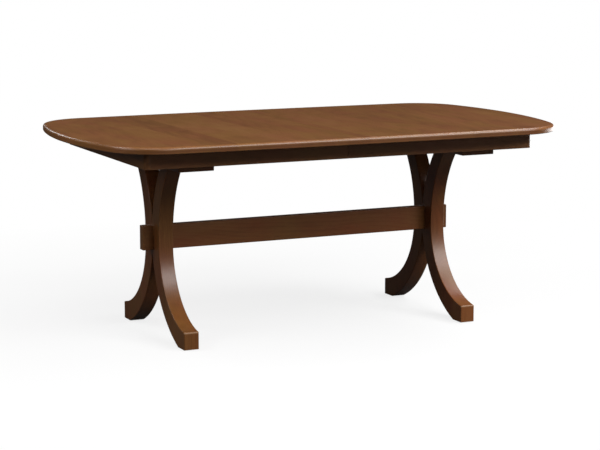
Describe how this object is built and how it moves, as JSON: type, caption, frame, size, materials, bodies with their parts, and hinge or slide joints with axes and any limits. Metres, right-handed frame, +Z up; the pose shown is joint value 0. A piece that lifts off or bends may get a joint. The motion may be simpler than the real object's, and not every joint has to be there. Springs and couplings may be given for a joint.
{
  "type": "extending trestle table",
  "caption": "Dining table on curved trestle legs tied by a stretcher; the bowed oval-cornered top parts in the middle and draws out on geared slides.",
  "frame": {"origin": "on the floor, under the middle of the top", "axes": "+X along the table, +Y across it to the back, +Z up"},
  "size_m": [1.8698, 1.07, 0.762],
  "materials": {
    "top_wood": "brown stain under satin lacquer",
    "apron_wood": "brown stain under satin lacquer",
    "base_wood": "brown stain under satin lacquer",
    "slide_wood": "planed, unfinished",
    "gear_steel": "cut teeth",
    "zinc_steel": "zinc plated",
    "pin_brass": "turned",
    "glide_nylon": "moulded"
  },
  "bodies": {
    "base": {"leg_front_left": "base_wood", "leg_back_left": "base_wood", "leg_front_right": "base_wood", "leg_back_right": "base_wood", "stretcher": "base_wood", "trestle_dowels": "slide_wood", "foot_glides": "glide_nylon", "cleat_left": "base_wood", "cleat_right": "base_wood", "leg_bolts": "zinc_steel", "beam_front": "slide_wood", "beam_back": "slide_wood", "beam_screws": "zinc_steel", "gear_pins": "zinc_steel"},
    "left_half": {"top_left": "top_wood", "apron_front_left": "apron_wood", "apron_back_left": "apron_wood", "apron_end_left": "apron_wood", "corner_block_front_left": "slide_wood", "corner_block_back_left": "slide_wood", "glue_blocks_left": "slide_wood", "rail_front_left": "slide_wood", "rail_back_left": "slide_wood", "rack_front_left": "gear_steel", "rack_back_left": "gear_steel", "rail_screws_left": "zinc_steel", "slide_stops_left": "slide_wood", "alignment_pins": "pin_brass", "lock_plates": "zinc_steel", "lock_rivets": "zinc_steel"},
    "right_half": {"top_right": "top_wood", "apron_front_right": "apron_wood", "apron_back_right": "apron_wood", "apron_end_right": "apron_wood", "corner_block_front_right": "slide_wood", "corner_block_back_right": "slide_wood", "glue_blocks_right": "slide_wood", "rail_front_right": "slide_wood", "rail_back_right": "slide_wood", "rack_front_right": "gear_steel", "rack_back_right": "gear_steel", "rail_screws_right": "zinc_steel", "slide_stops_right": "slide_wood", "lock_keepers": "zinc_steel", "lock_posts": "zinc_steel"},
    "front_pinion": {"pinion_front": "gear_steel"},
    "back_pinion": {"pinion_back": "gear_steel"},
    "front_lock": {"lock_lever_front": "zinc_steel"},
    "back_lock": {"lock_lever_back": "zinc_steel"}
  },
  "joints": [
    {"name": "left_half_slide", "type": "slide", "parent": "base", "child": "left_half", "axis": [-1, 0, 0], "range_m": [0, 0.305]},
    {"name": "right_half_slide", "type": "slide", "parent": "base", "child": "right_half", "axis": [1, 0, 0], "range_m": [0, 0.305]},
    {"name": "front_pinion_spin", "type": "hinge", "parent": "base", "child": "front_pinion", "pos_m": [0, -0.21, 0.702], "axis": [0, 0, 1], "continuous": true},
    {"name": "back_pinion_spin", "type": "hinge", "parent": "base", "child": "back_pinion", "pos_m": [0, 0.21, 0.702], "axis": [0, 0, 1], "continuous": true},
    {"name": "front_lock_turn", "type": "hinge", "parent": "left_half", "child": "front_lock", "pos_m": [-0.024, -0.32, 0.731], "axis": [0, 0, -1], "range_deg": [0, 90]},
    {"name": "back_lock_turn", "type": "hinge", "parent": "left_half", "child": "back_lock", "pos_m": [-0.024, 0.32, 0.731], "axis": [0, 0, -1], "range_deg": [0, 90]}
  ],
  "couplings": [
    {"joint": "right_half_slide", "follows": "left_half_slide", "ratio": 1},
    {"joint": "front_pinion_spin", "follows": "left_half_slide", "rad_per_m": 55.556},
    {"joint": "back_pinion_spin", "follows": "left_half_slide", "rad_per_m": 55.556}
  ]
}
